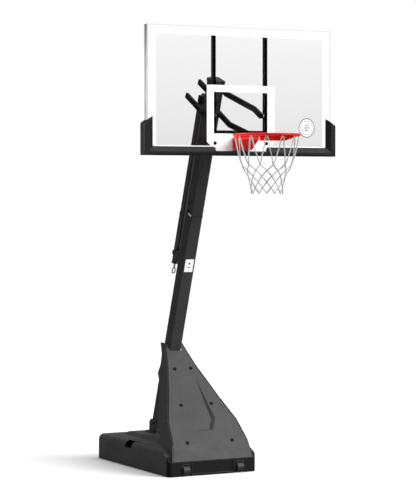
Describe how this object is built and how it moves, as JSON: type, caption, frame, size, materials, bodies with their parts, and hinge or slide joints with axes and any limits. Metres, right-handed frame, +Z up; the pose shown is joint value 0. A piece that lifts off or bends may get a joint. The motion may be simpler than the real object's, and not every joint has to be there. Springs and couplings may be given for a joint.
{
  "type": "portable basketball hoop",
  "caption": "Free-standing portable basketball hoop: ballast base with wheels, leaning pole, height-adjusting arms, clear backboard with pads, breakaway rim and net.",
  "frame": {"origin": "on the ground at the centre of the base tank's footprint", "axes": "+Z up, the backboard faces -Y, +X to the right of a viewer who looks at the board"},
  "size_m": [1.594, 2.333, 3.327],
  "materials": {
    "moulded_charcoal": "fine moulded grain",
    "water": "clear water, sealed inside the tank",
    "black_plastic": "satin black",
    "cover_plastic": "fine moulded grain",
    "powder_coat": "satin powder coat",
    "black_screw": "black oxide",
    "zinc": "zinc plated",
    "nylon": "white nylon",
    "bronze": "machined",
    "glass": "clear with printed border and target",
    "frame_grey": "silver anodised",
    "pad_foam": "moulded foam skin",
    "rim_red": "gloss powder coat",
    "net_cord": "white braided cord"
  },
  "bodies": {
    "root": {"base_tank": "moulded_charcoal", "ballast_water": "water", "wheel_axles": "zinc", "wheel_brackets": "powder_coat", "pole_lower": "powder_coat", "pole_upper": "powder_coat", "pole_joint_bolts": "black_screw", "pole_cap": "black_plastic", "pole_foot_bracket": "powder_coat", "foot_bracket_bolts": "black_screw", "cover": "cover_plastic", "cover_screws": "black_screw", "struts": "powder_coat", "strut_feet": "moulded_charcoal", "strut_yoke": "powder_coat", "pole_through_bolts": "black_screw", "pole_pivot_bolts": "black_screw", "pole_spacers": "nylon", "jack_bracket": "powder_coat"},
    "fill_cap": {"fill_cap": "black_plastic"},
    "wheel_left": {"wheel_left": "black_plastic"},
    "wheel_right": {"wheel_right": "black_plastic"},
    "lower_arms": {"lower_arm_left": "powder_coat", "lower_arm_right": "powder_coat", "jack_pin_nuts": "black_screw"},
    "upper_arms": {"upper_arm_left": "powder_coat", "upper_arm_right": "powder_coat"},
    "board": {"glass_panel": "glass", "frame_rail_top": "frame_grey", "frame_rail_bottom": "frame_grey", "frame_rail_left": "frame_grey", "frame_rail_right": "frame_grey", "upright_bars": "powder_coat", "lower_pivot_ears": "powder_coat", "cross_bars": "powder_coat", "rim_mount_plate": "powder_coat", "glass_bolts": "black_screw", "bar_pivot_bolts": "black_screw", "bar_spacers": "nylon", "corner_pad_left": "pad_foam", "corner_pad_right": "pad_foam", "centre_pad": "pad_foam", "rim_back_plate": "rim_red", "rim_bolts": "zinc", "rim_hinge_pin": "zinc", "breakaway_spring": "zinc"},
    "rim": {"rim_ring": "rim_red", "rim_brace": "rim_red", "rim_bracket": "rim_red", "net_hooks": "rim_red", "net": "net_cord"},
    "jack_tube": {"jack_outer_tube": "powder_coat", "jack_guide_bush": "black_plastic", "jack_thrust_bearing": "zinc"},
    "jack_ram": {"jack_ram_tube": "powder_coat", "jack_nut": "bronze", "jack_head": "powder_coat", "jack_head_pin": "zinc"},
    "jack_screw": {"jack_screw": "zinc", "crank_eye": "black_screw"}
  },
  "joints": [
    {"name": "lift", "type": "hinge", "parent": "root", "child": "lower_arms", "pos_m": [0, -0.6, 2.722], "axis": [-1, 0, 0], "range_deg": [-8, 67.85]},
    {"name": "upper_arm_pivot", "type": "hinge", "parent": "root", "child": "upper_arms", "pos_m": [0, -0.64, 2.90355], "axis": [-1, 0, 0], "range_deg": [-9, 68.85]},
    {"name": "board_pivot", "type": "hinge", "parent": "lower_arms", "child": "board", "pos_m": [0, -0.997, 2.50645], "axis": [-1, 0, 0], "range_deg": [-68.85, 9]},
    {"name": "rim_breakaway", "type": "hinge", "parent": "board", "child": "rim", "pos_m": [0, -1.09, 2.442], "axis": [1, 0, 0], "range_deg": [0, 25], "stiffness_Nm_per_rad": 300, "springref_deg": -22.92},
    {"name": "jack_tilt", "type": "hinge", "parent": "root", "child": "jack_tube", "pos_m": [0, -0.03607, 1.65947], "axis": [1, 0, 0], "range_deg": [-1.56, 5.72]},
    {"name": "jack_slide", "type": "slide", "parent": "jack_tube", "child": "jack_ram", "axis": [0, -0.3312, 0.9436], "range_m": [-0.1865, 0.0264]},
    {"name": "crank_turn", "type": "hinge", "parent": "jack_tube", "child": "jack_screw", "pos_m": [0, -0.00991, 1.58493], "axis": [0, -0.3312, 0.9436], "range_deg": [-6553.7, 790.3]},
    {"name": "wheel_left_spin", "type": "hinge", "parent": "root", "child": "wheel_left", "pos_m": [-0.23, -0.622, 0.043], "axis": [1, 0, 0], "continuous": true},
    {"name": "wheel_right_spin", "type": "hinge", "parent": "root", "child": "wheel_right", "pos_m": [0.23, -0.622, 0.043], "axis": [1, 0, 0], "continuous": true},
    {"name": "fill_cap_lift", "type": "slide", "parent": "root", "child": "fill_cap", "axis": [0, 0, 1], "range_m": [0, 0.06]}
  ],
  "couplings": [
    {"joint": "upper_arm_pivot", "follows": "lift", "ratio": 1},
    {"joint": "board_pivot", "follows": "lift", "ratio": -1},
    {"joint": "jack_tilt", "follows": "lift", "ratio": 0.069593},
    {"joint": "jack_slide", "follows": "lift", "m_per_rad": -0.15326},
    {"joint": "crank_turn", "follows": "lift", "ratio": -96.293}
  ]
}
